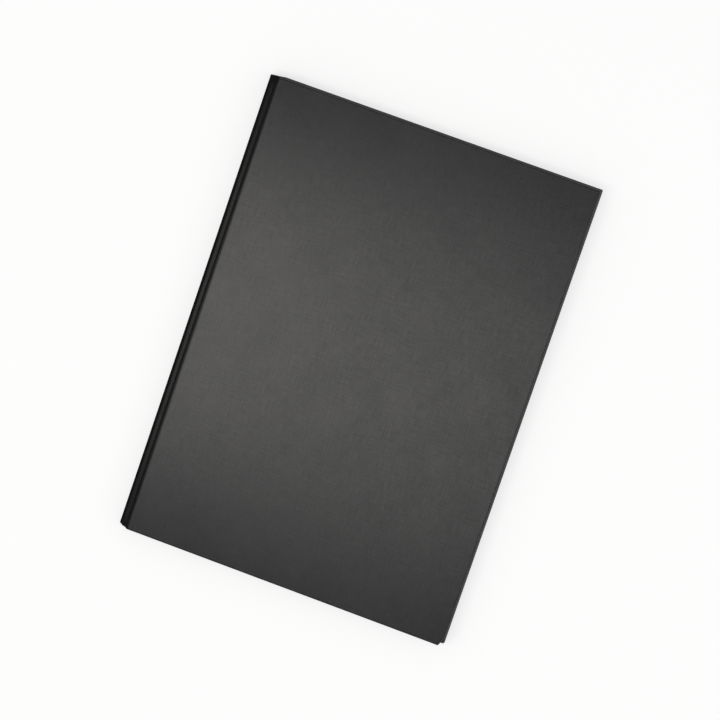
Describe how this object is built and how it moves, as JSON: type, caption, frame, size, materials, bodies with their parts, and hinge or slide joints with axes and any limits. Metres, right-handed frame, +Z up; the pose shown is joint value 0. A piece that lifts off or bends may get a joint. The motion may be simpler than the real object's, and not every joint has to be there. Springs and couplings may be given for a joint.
{
  "type": "clipboard folder",
  "caption": "Black cloth-bound clipboard folder, closed: front cover on a grooved cloth joint, leaning spine, and a sprung paper clip riveted inside the back cover.",
  "frame": {"origin": "middle of the closed folder's footprint, on the table under the back cover", "axes": "+X from the spine to the fore edge, +Y from the tail to the head where the clip is, +Z up through the front cover"},
  "size_m": [0.2324, 0.318, 0.015],
  "materials": {
    "board": "matt greyboard",
    "binding_cloth": "black linen-woven bookcloth with a soft sheen",
    "hinge_cloth": "black woven hinge cloth",
    "lining_paper": "matt black lining paper",
    "elastic": "black ribbed elastic",
    "plated_steel": "satin nickel plating",
    "spring_steel": "drawn spring wire",
    "jaw_rubber": "matt black rubber"
  },
  "bodies": {
    "back_cover": {"back_cloth": "binding_cloth", "back_board": "board", "back_filler": "board", "back_lining": "lining_paper", "back_joint_cloth": "binding_cloth", "back_joint_lining": "hinge_cloth", "pen_loop": "elastic", "clip_base": "plated_steel", "clip_pin": "plated_steel", "clip_spring_left": "spring_steel", "clip_spring_right": "spring_steel", "clip_rivets": "plated_steel", "rivet_washers": "plated_steel"},
    "spine": {"spine_cloth": "binding_cloth", "spine_board": "board", "spine_lining": "hinge_cloth"},
    "front_cover": {"front_joint_cloth": "binding_cloth", "front_joint_lining": "hinge_cloth", "front_cloth": "binding_cloth", "front_board": "board", "front_filler": "board", "front_lining": "lining_paper", "pocket_panel": "lining_paper", "pocket_gusset_left": "lining_paper", "pocket_gusset_right": "lining_paper", "pocket_bottom_strip": "lining_paper"},
    "clip_lever": {"clip_lever": "plated_steel", "jaw_pad_left": "jaw_rubber", "jaw_pad_right": "jaw_rubber"}
  },
  "joints": [
    {"name": "spine_hinge", "type": "hinge", "parent": "back_cover", "child": "spine", "pos_m": [-0.11655, 0, 0.0002], "axis": [0, -1, 0], "range_deg": [0, 108], "deforming": ["back_joint_cloth", "back_joint_lining"]},
    {"name": "front_hinge", "type": "hinge", "parent": "spine", "child": "front_cover", "pos_m": [-0.11181, 0, 0.0148], "axis": [0, -1, 0], "range_deg": [0, 72], "deforming": ["front_joint_cloth", "front_joint_lining"]},
    {"name": "clip_hinge", "type": "hinge", "parent": "back_cover", "child": "clip_lever", "pos_m": [0.0047, 0.142, 0.00735], "axis": [-1, 0, 0], "range_deg": [0, 16], "stiffness_Nm_per_rad": 0.06, "springref_deg": -22.92, "deforming": ["clip_spring_left", "clip_spring_right"]}
  ]
}
